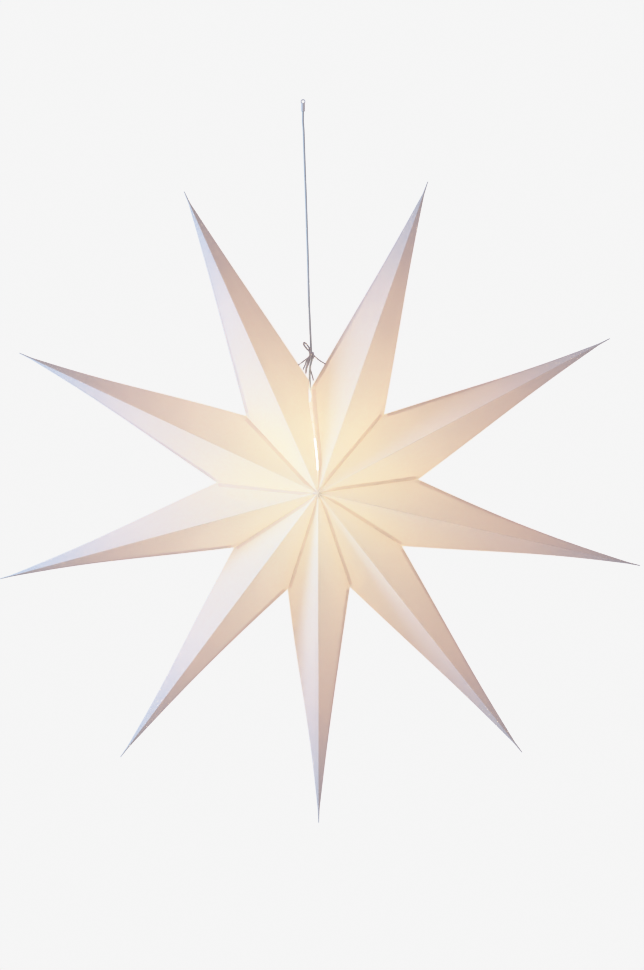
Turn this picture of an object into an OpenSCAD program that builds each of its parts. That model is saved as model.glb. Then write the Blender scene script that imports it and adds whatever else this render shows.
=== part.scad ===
// Paper advent star: nine folded paper points glued side by side around a lit lampholder.
// The star stands in the XZ plane with its front towards -Y, and hangs from the eye at the origin.
// Points are numbered clockwise as seen from the front, from the one right of the cord.

/* [Star] */
// Distance from the star's centre to the end of each point
tip_r = 500; // [440:10:600]
// Distance from the star's centre to the notch between two glued points
notch_r = 155; // [145:1:165]
// Distance from the star's middle plane to its front hub, and to its back hub
hub_h = 110; // [95:1:125]
// Width across the small opening that the clipped corners leave at each hub
hub_hole_w = 5; // [4:0.5:8]

/* [Mouth] */
// Direction of the unglued mouth that the cord goes in by, anticlockwise from the right
mouth_angle = 94.2; // [93.8:0.1:94.6]
// Angle that the mouth's two free edges stand open by
mouth_spread = 1.4; // [1.2:0.1:2]
// Distance from the star's centre to the mouth's corner on the left point
mouth_left_r = 171; // [168:0.5:174]
// Distance from the star's centre to the mouth's corner on the right point
mouth_right_r = 160; // [157:0.5:163]

/* [Paper] */
// Thickness of the paper
paper_t = 0.3; // [0.2:0.05:0.4]
// Thickness of the film of glue between two sheets
glue_t = 0.05; // [0.05:0.01:0.1]
// Width of the glue flap along each valley
valley_flap_w = 10; // [6:0.5:12]
// Width of the glue flap along a point's closing edge, beside the notch
side_flap_w = 9; // [6:0.5:11]
// Width that the closing edge's flap has left at the folded tip
side_flap_tip_w = 1.5; // [1:0.1:1.8]
// Bare length that the flaps leave beside a notch
flap_bare = 4; // [3:0.5:8]
// Bare length that the valley flaps leave beside a hub
flap_hub_bare = 5; // [4:0.5:10]
// Slant of a valley flap's end beside the notch, against its fold
flap_notch_slant = 60; // [45:1:80]
// Slant of a valley flap's end beside the hub, against its fold
flap_hub_slant = 20; // [16:1:22]

/* [Tips] */
// Length of the solid fold that ends each point
tip_fold_l = 20; // [12:1:30]
// Width of that fold, seen from the front
tip_fold_w = 3; // [2.6:0.1:3.6]

/* [Cord] */
// Diameter of the power cord
cord_d = 3.3; // [2.8:0.1:3.6]
// Diameter of the tie string
string_d = 1.6; // [1.2:0.1:1.8]
// Diameter of the knots that hold the tie string behind the paper
string_knot_d = 5; // [4.5:0.1:6]
// How far behind the paper's edge the middle of such a knot sits
knot_back = 4.2; // [4:0.1:5]
// Diameter of the pinholes that the tie string passes through
pinhole_d = 2.4; // [2.2:0.1:3]
// Distance from the left point's mouth corner to the pinhole in its edge
pin_left_run = 28; // [24:0.5:34]
// Distance from the right point's mouth corner to the pinhole in its edge
pin_right_run = 41; // [36:0.5:46]

/* [Hanging eye] */
// Diameter of the sleeve on the cord's upper end
sleeve_d = 6; // [5:0.1:7]
// Length of that sleeve
sleeve_l = 12; // [10:0.5:16]
// Diameter of the hole in the hanging eye
eye_hole_d = 4; // [3:0.1:5]
// Width of the eye's rim around its hole
eye_rim_w = 1.8; // [1.4:0.1:2.4]
// Thickness of the eye
eye_t = 2.4; // [2:0.1:3]
// How far the eye is let into the sleeve
eye_seat = 1; // [0.8:0.1:1.4]

/* [Lampholder] */
// Diameter of the cord grip on top of the lampholder
grip_d = 10; // [8:0.5:12]
// Length of the cord grip above the cap
grip_l = 9; // [7:0.5:11]
// Diameter of the grip's shank, which passes through the cap
shank_d = 7; // [6:0.5:7.5]
// How far the shank reaches below the cap's roof
shank_reach = 3; // [2:0.5:5]
// Outer diameter of the lampholder's cap and skirt
holder_d = 27; // [26:0.5:29]
// Wall of the cap and skirt
holder_wall = 1.6; // [1.2:0.1:2]
// Height of the cap
cap_h = 20; // [18:1:24]
// Height of the skirt below the insert's flange
skirt_h = 24; // [22:0.5:25]
// Diameter of the insulating insert that carries the contacts
insert_d = 22; // [20:0.5:22.5]
// Height of the insert, with its flange
insert_h = 23; // [20:0.5:24]
// Thickness of the insert's roof over the bulb's base, with its flange
insert_roof = 4; // [3.5:0.1:5]
// Thickness of the flange that the cap and skirt clamp the insert by
flange_t = 2; // [1.5:0.1:3]
// Thickness of the metal in the screw shell and the centre contact
contact_t = 0.4; // [0.3:0.05:0.6]

/* [Bulb] */
// Diameter of the bulb's globe
globe_d = 45; // [40:1:50]
// Diameter of the bulb's screw base
base_d = 13.6; // [13:0.1:14]
// Length of the bulb's screw base
base_l = 19; // [17:0.5:20]
// Diameter of the contact on the end of the base
stud_d = 6; // [5:0.5:7]
// Height of that contact
stud_h = 2.5; // [2:0.1:3]
// Diameter of the bulb's collar, where glass meets base
collar_d = 19; // [17:0.5:20]
// Distance from the collar to the globe's centre
globe_drop = 27; // [25:0.5:30]

/* [Fits] */
// Play between the screw base and its shell, on each side
thread_play = 0.15; // [0.1:0.05:0.3]
// Play between the parts of the lampholder, on each side
holder_play = 0.15; // [0.1:0.05:0.3]

/* [Hidden] */

$fn = 64;
// Round forms this small get fewer sides
SMALL_SIDES = 20;
// How far a cut runs past the face that it opens
CUT = 1;

PAPER = "#efdfcc";
CREAM = "#f2f0ea";
BRASS = "#c8a860";
GLASS = "#fdf6e8";
// Axis of each point, anticlockwise from the right; the star was folded by hand, so they are uneven
AXES = [70.5, 27.7, -12.6, -51.8, -89.6, -126.7, -165.2, -204.7, -246];
// How far each notch strays from its place, first the one between points 1 and 2: outwards, and in degrees
// anticlockwise
STRAYS = [[2.5, 0.2], [0.5, -0.3], [-2.5, -0.3], [-3, -0.8], [-3.5, 0.5], [0, -1.4], [0, 0], [6, -1.6]];
COUNT = len(AXES);
FRONT = 1;
BACK = -1;
LEFT = 1;
RIGHT = -1;
// How far a flap runs into the sheet that it belongs to
MERGE = paper_t / 2;
// A sheet that carries a glued flap ends this much short of the flap's far face
SHY = paper_t / 10;

// The cord's route in the star's own upright frame, from the hanging eye down to the lampholder
CORD_ROUTE = [
    [-23, 0, 578], [-23, 0, 570], [-23, 0, 562], [-22, 0, 546], [-20.5, 0, 500],
    [-18.5, 0, 445], [-17, 0, 398], [-15.5, 0, 352], [-14, 0, 292], [-12, 0, 246],
    [-10.5, 0, 214], [-9.5, 0, 203], [-12, 0, 192], [-13, 0, 180], [-12.5, 0, 168],
    [-12, 0, 158], [-10.5, 0, 150], [-10, 0, 145], [-10, 0, 141], [-10, 0, 137],
];
// The tie string's left half after its pinhole: to the cord, one bow loop, then a tail
STRING_LEFT = [
    [-22, -1, 200], [-14, -2.6, 207], [-10.5, -2.7, 212], [-12, -3.2, 218], [-18, -3.5, 228],
    [-21.5, -3.6, 231.5], [-22.5, -4.2, 227], [-17, -5, 216], [-11, -5, 208], [-12.5, -4.6, 202],
    [-17, -3.5, 196], [-21, -2.8, 188],
];
// The tie string's right half after its pinhole: to the cord, then a tail
STRING_RIGHT = [
    [3, -1.6, 200], [-3.5, -2.6, 205], [-8, -3, 210], [-7.2, -4.6, 201], [-8.4, -4.6, 190],
    [-8.5, -3.6, 182], [-6, -2.6, 176], [-6, -2.6, 170],
];
// Where the string's turn around the cord lies
TURN_AT = [-10.2, 0, 210.5];
CORD_SIDES = 8;
// The sweep adds this many rings between two points of a route
CORD_STEPS = 4;
STRING_STEPS = 3;

// The hanging eye's hole is the origin of the whole part
EYE_AT = CORD_ROUTE[0] + [0, 0, sleeve_l - eye_seat + eye_rim_w + eye_hole_d / 2];
// The lamp hangs from the cord's lower end, and its levels are measured down from there
LAMP_AT = CORD_ROUTE[len(CORD_ROUTE) - 1];
cap_top = -grip_l;
flange_top = cap_top - cap_h;
skirt_top = flange_top - flange_t;
insert_bottom = flange_top - insert_h;
bore_top = flange_top - insert_roof;
stud_top = bore_top - contact_t;
base_top = stud_top - stud_h;
collar_z = base_top - base_l;
globe_z = collar_z - globe_drop;
shell_bore_d = base_d + 2 * thread_play;
shell_d = shell_bore_d + 2 * contact_t;

// Vectors and planes. A plane is [unit normal, distance], and a sheet's normal faces out of the star.
function unit(v) = v / norm(v);
function polar(r, a) = [r * cos(a), r * sin(a), 0];
function plane_of(a, b, c, away) =
    let (n = unit(cross(b - a, c - a)), s = sign(n * (a - away)))
    [s * n, s * (n * a)];
function sunk(p, depth) = [p[0], p[1] - depth];
function meet(p, q, r) =
    let (v = cross(q[0], r[0]))
    (p[1] * v + q[1] * cross(r[0], p[0]) + r[1] * cross(p[0], q[0])) / (p[0] * v);

// The star is laid out face up, with its front towards +Z. side is LEFT or RIGHT of a point's axis,
// as seen from the front with the point's tip up, and face is FRONT or BACK.
function before(k) = (k + COUNT - 1) % COUNT;
function after(k) = (k + 1) % COUNT;
function is_free(k, side) = side == LEFT ? k == 0 : k == COUNT - 1;
function free_direction(side) = mouth_angle - side * mouth_spread / 2;
function free_r(side) = side == LEFT ? mouth_right_r : mouth_left_r;
function notch(k, side) =
    is_free(k, side) ? polar(free_r(side), free_direction(side))
    : side == LEFT ? notch(before(k), RIGHT)
    : polar(notch_r + STRAYS[k][0], (AXES[k] + AXES[after(k)]) / 2 + STRAYS[k][1]);
function hub(face) = [0, 0, face * hub_h];
// The edge between a point's panels ends at the solid tip fold
function fold_corner(k, side) = polar(tip_r - tip_fold_l, AXES[k]) + side * polar(tip_fold_w / 2, AXES[k] + 90);
// One of a point's four flat panels
function panel(k, side, face) =
    plane_of(hub(face), notch(k, side), fold_corner(k, side), polar(notch_r, AXES[k]));
// The plane that a panel's sheet is cut at along its valley
function cut(k, side, face) =
    is_free(k, side) ? [polar(1, free_direction(side) + 90), 0]
    : side == LEFT ? sunk(panel(before(k), RIGHT, face), 2 * paper_t + glue_t - SHY)
    : sunk(panel(after(k), LEFT, face), -glue_t);
function across(k, r) = [polar(1, AXES[k]), r];
function clip(k) = across(k, hub_hole_w / 2);

// The eight corners around a point's open root, and the four where its tip fold starts
function root_corners(k, depth) = [
    meet(sunk(panel(k, LEFT, FRONT), depth), sunk(panel(k, LEFT, BACK), depth), cut(k, LEFT, FRONT)),
    meet(sunk(panel(k, LEFT, FRONT), depth), cut(k, LEFT, FRONT), clip(k)),
    meet(sunk(panel(k, LEFT, FRONT), depth), sunk(panel(k, RIGHT, FRONT), depth), clip(k)),
    meet(sunk(panel(k, RIGHT, FRONT), depth), cut(k, RIGHT, FRONT), clip(k)),
    meet(sunk(panel(k, RIGHT, FRONT), depth), sunk(panel(k, RIGHT, BACK), depth), cut(k, RIGHT, FRONT)),
    meet(sunk(panel(k, RIGHT, BACK), depth), cut(k, RIGHT, BACK), clip(k)),
    meet(sunk(panel(k, RIGHT, BACK), depth), sunk(panel(k, LEFT, BACK), depth), clip(k)),
    meet(sunk(panel(k, LEFT, BACK), depth), cut(k, LEFT, BACK), clip(k)),
];
function fold_corners(k, depth) = [
    for (pair = [[[LEFT, BACK], [LEFT, FRONT]], [[LEFT, FRONT], [RIGHT, FRONT]],
                 [[RIGHT, FRONT], [RIGHT, BACK]], [[RIGHT, BACK], [LEFT, BACK]]])
        meet(
            sunk(panel(k, pair[0][0], pair[0][1]), depth),
            sunk(panel(k, pair[1][0], pair[1][1]), depth),
            across(k, tip_r - tip_fold_l)
        )
];

// The folded sheet of one point without its flaps: four panels open at the root, and a solid tip fold
module folded_sheet(k) {
    root = 8;
    fold = 4;
    outer_fold = root;
    tip = outer_fold + fold;
    inner_root = tip + fold;
    inner_fold = inner_root + root;
    corners = concat(
        root_corners(k, 0),
        fold_corners(k, 0),
        [for (p = fold_corners(k, 0)) p + polar(tip_fold_l, AXES[k])],
        root_corners(k, paper_t),
        fold_corners(k, paper_t)
    );
    // Each panel's corners: two at the tip fold, then three at the root
    panels = [
        for (i = [0:fold - 1])
            [outer_fold + i, outer_fold + (i + 1) % fold,
             (2 * i + 2) % root, 2 * i + 1, 2 * i]
    ];
    lining = [
        for (i = [0:fold - 1])
            [inner_root + 2 * i, inner_root + 2 * i + 1, inner_root + (2 * i + 2) % root,
             inner_fold + (i + 1) % fold, inner_fold + i]
    ];
    tip_sides = [
        for (i = [0:fold - 1])
            [tip + i, tip + (i + 1) % fold, outer_fold + (i + 1) % fold, outer_fold + i]
    ];
    rim = [
        for (i = [0:root - 1])
            [i, (i + 1) % root, inner_root + (i + 1) % root, inner_root + i]
    ];
    ends = [
        [for (i = [fold - 1:-1:0]) tip + i],
        [for (i = [0:fold - 1]) inner_fold + i],
    ];
    polyhedron(corners, concat(panels, lining, tip_sides, rim, ends));
}

// A flat flap: its outline lies in a plane with this normal, and its thickness goes inwards from there
module flap(outline, normal, thick) {
    n = len(outline);
    polyhedron(
        concat(outline, [for (p = outline) p - thick * normal]),
        concat(
            [[for (i = [n - 1:-1:0]) i], [for (i = [0:n - 1]) n + i]],
            [for (i = [0:n - 1]) [i, (i + 1) % n, n + (i + 1) % n, n + i]]
        )
    );
}

// A flap's outline between two places on its fold: how far it is let in, its width and its ends' slants
function flap_outline(from, to, inward, let_in, width_from, width_to, run_from, run_to) =
    let (along = unit(to - from))
    [
        from - let_in * inward,
        from + run_from * along + width_from * inward,
        to - run_to * along + width_to * inward,
        to - let_in * inward,
    ];

// The flap along one valley edge. A glued one lies under the neighbour's panel, and the free ones at
// the mouth are folded back under the point's own panel.
module valley_flap(k, face) {
    free = is_free(k, LEFT);
    own = panel(k, LEFT, face);
    carrier = free ? own : panel(before(k), RIGHT, face);
    bed = free ? sunk(own, paper_t - MERGE) : sunk(carrier, paper_t + glue_t);
    fold = free ? cut(k, LEFT, face) : own;
    level = [[0, 0, 1], 0];
    from = meet(bed, fold, level);
    to = meet(bed, fold, clip(k));
    along = unit(to - from);
    inside = free ? polar(notch_r, AXES[k]) : polar(notch_r, AXES[before(k)]);
    turn = cross(carrier[0], along);
    inward = turn * sign(turn * (inside - from));
    outline = flap_outline(
        from + flap_bare * along, to - flap_hub_bare * along, inward, free ? -MERGE : MERGE,
        valley_flap_w, valley_flap_w, valley_flap_w / tan(flap_notch_slant),
        valley_flap_w / tan(flap_hub_slant)
    );
    facing = cross(outline[1] - outline[0], outline[2] - outline[1]) * carrier[0];
    flap(facing > 0 ? outline : [for (i = [3:-1:0]) outline[i]], carrier[0],
         free ? paper_t + MERGE : paper_t);
}

// The flap that closes the point along its left edge, under the front panel
module side_flap(k) {
    own = panel(k, LEFT, FRONT);
    from = root_corners(k, 0)[0] - (paper_t - MERGE) * own[0];
    to = fold_corners(k, 0)[0] - (paper_t - MERGE) * own[0];
    along = unit(to - from);
    turn = cross(own[0], along);
    inward = turn * sign(turn * (hub(FRONT) - from));
    outline = flap_outline(
        from + flap_bare * along, to, inward, -MERGE / 2, side_flap_w, side_flap_tip_w, 0, 0
    );
    facing = cross(outline[1] - outline[0], outline[2] - outline[1]) * own[0];
    flap(facing > 0 ? outline : [for (i = [3:-1:0]) outline[i]], own[0], paper_t + MERGE);
}

// Everything hangs from the eye at the origin
module hang() {
    translate(-EYE_AT) children();
}

// The pinhole in a free edge, where the tie string comes out square to that edge. Its place and its way
// out are given in the upright frame.
function upright(p) = [p[0], -p[2], p[1]];
function edge_way(k, side) = unit(fold_corner(k, side) - notch(k, side));
function pin_run(side) = side == LEFT ? pin_right_run : pin_left_run;
function pin_at(k, side) = upright(notch(k, side) + pin_run(side) * edge_way(k, side));
function pin_way(k, side) = upright(side * cross([0, 0, 1], edge_way(k, side)));

module pinhole(k, side) {
    way = pin_way(k, side);
    translate(pin_at(k, side) - pinhole_d * way)
        multmatrix([
            [way[2], 0, way[0], 0],
            [0, 1, 0, 0],
            [-way[0], 0, way[2], 0],
            [0, 0, 0, 1],
        ])
            cylinder(h = 2 * pinhole_d, d = pinhole_d, $fn = SMALL_SIDES);
}

// One point of the star: a sheet folded into four panels, with its closing flap and two valley flaps
module star_point(k) {
    color(PAPER) hang() difference() {
        rotate([90, 0, 0]) union() {
            folded_sheet(k);
            side_flap(k);
            valley_flap(k, FRONT);
            valley_flap(k, BACK);
        }
        for (side = [LEFT, RIGHT]) if (is_free(k, side)) pinhole(k, side);
    }
}

// A smooth curve through a route's points
function curve_point(p, i, u) =
    let (
        a = p[max(i - 1, 0)],
        b = p[i],
        c = p[i + 1],
        d = p[min(i + 2, len(p) - 1)]
    )
    0.5 * (2 * b + (c - a) * u + (2 * a - 5 * b + 4 * c - d) * u * u + (3 * b - a - 3 * c + d) * u * u * u);
function curve(p, steps) = concat(
    [for (i = [0:len(p) - 2]) for (j = [0:steps - 1]) curve_point(p, i, j / steps)],
    [p[len(p) - 1]]
);

// A round tube swept along a curve that never runs along Y
module tube(path, d) {
    n = len(path);
    rings = [
        for (i = [0:n - 1])
            let (
                way = unit(path[min(i + 1, n - 1)] - path[max(i - 1, 0)]),
                right = unit(cross([0, 1, 0], way)),
                up = cross(way, right)
            )
            for (j = [0:CORD_SIDES - 1])
                path[i] + d / 2 * (cos(360 * j / CORD_SIDES) * right + sin(360 * j / CORD_SIDES) * up)
    ];
    walls = [
        for (i = [0:n - 2]) for (j = [0:CORD_SIDES - 1])
            let (a = i * CORD_SIDES, b = (j + 1) % CORD_SIDES)
            [a + j, a + CORD_SIDES + j, a + CORD_SIDES + b, a + b]
    ];
    ends = [
        [for (j = [0:CORD_SIDES - 1]) j],
        [for (j = [CORD_SIDES - 1:-1:0]) (n - 1) * CORD_SIDES + j],
    ];
    polyhedron(rings, concat(walls, ends));
}

module power_cord() {
    color(CREAM) hang() tube(curve(CORD_ROUTE, CORD_STEPS), cord_d);
}

// One half of the tie string: a knot behind the edge, out through the pinhole and on along its route
module half_string(k, side, route) {
    knot = pin_at(k, side) - knot_back * pin_way(k, side);
    tube(curve(concat([knot, pin_at(k, side)], route), STRING_STEPS), string_d);
    translate(knot) sphere(d = string_knot_d, $fn = SMALL_SIDES);
}

// The tie string pulls the mouth's two edges to the cord: two halves, and a turn around the cord
module tie_string() {
    color(CREAM) hang() union() {
        half_string(COUNT - 1, RIGHT, STRING_LEFT);
        half_string(0, LEFT, STRING_RIGHT);
        translate(TURN_AT) rotate_extrude($fn = SMALL_SIDES)
            translate([cord_d / 2 + glue_t + string_d / 2, 0]) circle(d = string_d, $fn = SMALL_SIDES);
    }
}

// A sleeve on the cord's upper end with a round eye to hang the star by
module hanging_eye() {
    eye_r = eye_hole_d / 2 + eye_rim_w;
    color(CREAM) difference() {
        union() {
            translate([0, 0, -eye_r + eye_seat - sleeve_l]) cylinder(h = sleeve_l, d = sleeve_d);
            rotate([90, 0, 0]) cylinder(h = eye_t, r = eye_r, center = true);
        }
        rotate([90, 0, 0]) cylinder(h = 2 * sleeve_d, d = eye_hole_d, center = true);
    }
}

module at_lamp() {
    hang() translate(LAMP_AT) children();
}

module cord_grip() {
    color(CREAM) at_lamp() {
        translate([0, 0, cap_top]) cylinder(h = grip_l, d = grip_d);
        translate([0, 0, cap_top - holder_wall - shank_reach])
            cylinder(h = holder_wall + shank_reach, d = shank_d);
    }
}

// The domed cap: its profile is an arc over a straight wall, hollow inside
module holder_cap() {
    dome = cap_h / 2;
    hole_r = shank_d / 2 + holder_play;
    color(CREAM) at_lamp() rotate_extrude() difference() {
        hull() {
            translate([0, flange_top]) square([holder_d / 2, cap_h - dome]);
            translate([0, cap_top - dome]) square([holder_d / 2 - dome, dome]);
            translate([holder_d / 2 - dome, cap_top - dome]) circle(r = dome);
        }
        translate([0, flange_top - CUT]) square([holder_d / 2 - holder_wall, cap_h - dome + CUT]);
        hull() {
            translate([0, cap_top - dome]) square([holder_d / 2 - dome, dome - holder_wall]);
            translate([holder_d / 2 - dome, cap_top - dome]) circle(r = dome - holder_wall);
        }
        translate([-holder_d, flange_top - CUT]) square([holder_d, cap_h + 2 * CUT]);
        translate([0, flange_top]) square([hole_r, cap_h + CUT]);
    }
}

module holder_skirt() {
    color(CREAM) at_lamp() translate([0, 0, skirt_top - skirt_h]) difference() {
        cylinder(h = skirt_h, d = holder_d);
        translate([0, 0, -CUT]) cylinder(h = skirt_h + 2 * CUT, d = holder_d - 2 * holder_wall);
    }
}

// The insulating insert: a flange that the cap and skirt clamp, and a socket for the screw shell
module holder_insert() {
    flange_r = holder_d / 2 - holder_wall / 2;
    color(CREAM) at_lamp() difference() {
        union() {
            translate([0, 0, skirt_top]) cylinder(h = flange_t, r = flange_r);
            translate([0, 0, insert_bottom]) cylinder(h = insert_h, d = insert_d);
        }
        translate([0, 0, insert_bottom - CUT])
            cylinder(h = bore_top - insert_bottom + CUT, d = shell_d + 2 * holder_play);
    }
}

module screw_shell() {
    color(BRASS) at_lamp() translate([0, 0, insert_bottom]) difference() {
        cylinder(h = bore_top - insert_bottom, d = shell_d);
        translate([0, 0, -CUT]) cylinder(h = bore_top - insert_bottom + 2 * CUT, d = shell_bore_d);
    }
}

module centre_contact() {
    color(BRASS) at_lamp() translate([0, 0, stud_top]) cylinder(h = contact_t, d = stud_d);
}

// The sealed bulb: contact, screw base, flared neck and globe, all one turned solid
module bulb() {
    globe_r = globe_d / 2;
    // The neck flares until it runs into the globe at this angle from the globe's top
    meet_angle = 46;
    neck_steps = 8;
    globe_steps = 20;
    meet_r = globe_r * sin(meet_angle);
    meet_z = globe_z + globe_r * cos(meet_angle);
    neck = [
        for (i = [0:neck_steps - 1])
            let (u = i / neck_steps)
            [collar_d / 2 + (meet_r - collar_d / 2) * u * u, collar_z + (meet_z - collar_z) * u]
    ];
    globe = [
        for (i = [0:globe_steps])
            let (angle = meet_angle + (180 - meet_angle) * i / globe_steps)
            [globe_r * sin(angle), globe_z + globe_r * cos(angle)]
    ];
    color(GLASS) at_lamp() rotate_extrude()
        polygon(concat(
            [[0, stud_top], [stud_d / 2, stud_top], [stud_d / 2, base_top], [base_d / 2, base_top],
             [base_d / 2, collar_z]],
            neck,
            globe
        ));
}

for (k = [0:COUNT - 1]) star_point(k);
hanging_eye();
power_cord();
tie_string();
cord_grip();
holder_cap();
holder_skirt();
holder_insert();
screw_shell();
centre_contact();
bulb();
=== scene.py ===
"""A paper advent star: nine folded points of thin card, glued side by side around a small lit bulb.

The paper, the cord and the tie string are modelled here. The hanging eye, the lampholder and the bulb keep
their own solids and get their finishes. All lengths are in metres, and the origin is the hanging eye's hole.
"""

import logging
import math
from dataclasses import dataclass, field
from enum import Enum

import bmesh
import bpy
import numpy as np
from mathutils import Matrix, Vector


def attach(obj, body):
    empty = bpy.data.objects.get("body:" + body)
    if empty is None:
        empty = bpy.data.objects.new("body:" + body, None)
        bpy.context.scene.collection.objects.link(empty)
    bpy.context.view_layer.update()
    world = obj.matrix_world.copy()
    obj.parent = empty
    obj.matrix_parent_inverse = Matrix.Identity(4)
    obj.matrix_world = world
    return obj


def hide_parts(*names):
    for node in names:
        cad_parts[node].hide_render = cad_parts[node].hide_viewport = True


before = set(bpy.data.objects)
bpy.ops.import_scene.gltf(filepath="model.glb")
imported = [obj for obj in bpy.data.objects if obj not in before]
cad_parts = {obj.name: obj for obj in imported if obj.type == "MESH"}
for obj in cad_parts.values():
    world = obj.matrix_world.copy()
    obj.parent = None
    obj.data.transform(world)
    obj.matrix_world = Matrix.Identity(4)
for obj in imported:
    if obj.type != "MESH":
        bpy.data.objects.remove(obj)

logging.basicConfig(level=logging.INFO, format="%(message)s")
log = logging.getLogger("star")

Tree = bpy.types.NodeTree
Socket = bpy.types.NodeSocket
Material = bpy.types.Material
Object = bpy.types.Object
Array = np.ndarray
Triple = tuple[float, float, float]
Route = tuple[Triple, ...]

MM = 0.001
CLOUD_SPAN = (0.3, 0.7)
TUBE_WELD = 0.001 * MM
SHEET_WELD = 0.01 * MM


class Side(Enum):
    """The two sides of a point's axis, seen from the front with its tip up."""

    LEFT = 1
    RIGHT = -1


class Face(Enum):
    """The two faces of the star."""

    FRONT = 1
    BACK = -1


def linear(hex_colour: str) -> tuple[float, float, float, float]:
    """Turns an sRGB hex colour into the linear one that a shader takes.

    Args:
        hex_colour: Six hex digits, with or without a leading #.

    Returns:
        Linear red, green, blue and an alpha of 1.
    """
    digits = hex_colour.lstrip("#")
    shares = [int(digits[i : i + 2], 16) / 255 for i in (0, 2, 4)]
    red, green, blue = (c / 12.92 if c <= 0.04045 else ((c + 0.055) / 1.055) ** 2.4 for c in shares)
    return red, green, blue, 1.0


def add_node(tree: Tree, kind: str, links: dict | None = None, **settings) -> bpy.types.Node:
    """Adds a shader node with its settings and the links into it.

    Args:
        tree: The node tree that the node goes into.
        kind: The node's type, such as "ShaderNodeTexNoise".
        links: Input name or number to the output socket that feeds it, or to a plain value.
        **settings: Properties of the node itself.

    Returns:
        The new node.
    """
    node = tree.nodes.new(kind)
    for name, value in settings.items():
        setattr(node, name, value)
    for name, value in (links or {}).items():
        if isinstance(value, Socket):
            tree.links.new(value, node.inputs[name])
        else:
            node.inputs[name].default_value = value
    return node


def maths(tree: Tree, operation: str, *values) -> Socket:
    """The result of one sum on values, each a socket or a plain number."""
    return add_node(tree, "ShaderNodeMath", dict(enumerate(values)), operation=operation).outputs[0]


def blend(tree: Tree, share: object, first: object, second: object) -> Socket:
    """Goes from the first colour to the second as the share goes from 0 to 1."""
    links = {"Factor": share, 6: first, 7: second}
    return add_node(tree, "ShaderNodeMix", links, data_type="RGBA").outputs[2]


def multiplied(tree: Tree, first: object, second: object) -> Socket:
    """Multiplies two colours, each a socket or four plain numbers, and gives the product's socket."""
    links = {"Factor": 1.0, 6: first, 7: second}
    return add_node(tree, "ShaderNodeMix", links, data_type="RGBA", blend_type="MULTIPLY").outputs[2]


def clouds(tree: Tree, size: float, detail: float, roughness: float = 0.5) -> Socket:
    """Soft clouds on Object coordinates, as a socket that mostly stays within CLOUD_SPAN.

    Args:
        tree: The material's node tree.
        size: How wide a cloud is, in metres.
        detail: How many finer layers are added.
        roughness: How strong each finer layer is against the last.

    Returns:
        The socket with the value.
    """
    coordinates = add_node(tree, "ShaderNodeTexCoord").outputs["Object"]
    links = {"Vector": coordinates, "Scale": 1 / size, "Detail": detail, "Roughness": roughness}
    return add_node(tree, "ShaderNodeTexNoise", links).outputs["Fac"]


def spread(tree: Tree, cloud: object, low: float, high: float) -> Socket:
    """Stretches clouds so that they run from low to high."""
    least, most = CLOUD_SPAN
    span = {"Value": cloud, "From Min": least, "From Max": most, "To Min": low, "To Max": high}
    return add_node(tree, "ShaderNodeMapRange", span).outputs["Result"]


def bumped(tree: Tree, height: Socket, strength: float, depth: float) -> Socket:
    """Turns a height into a bump's normals."""
    links = {"Height": height, "Strength": strength, "Distance": depth}
    return add_node(tree, "ShaderNodeBump", links).outputs["Normal"]


def principled(tree: Tree, skin: dict) -> Socket:
    """A principled surface with these inputs."""
    return add_node(tree, "ShaderNodeBsdfPrincipled", skin).outputs["BSDF"]


class Finish:
    """What the finishes share: each has a name and a shader, and makes its material from them."""

    name: str

    def shader(self, tree: Tree) -> Socket:
        """Adds the finish's nodes, and gives the shader that goes to the surface."""
        raise NotImplementedError

    def make(self) -> Material:
        """Builds the finished material."""
        material = bpy.data.materials.new(self.name)
        material.use_nodes = True
        tree = material.node_tree
        tree.nodes.clear()
        output = tree.nodes.new("ShaderNodeOutputMaterial")
        tree.links.new(self.shader(tree), output.inputs["Surface"])
        return material


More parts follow.
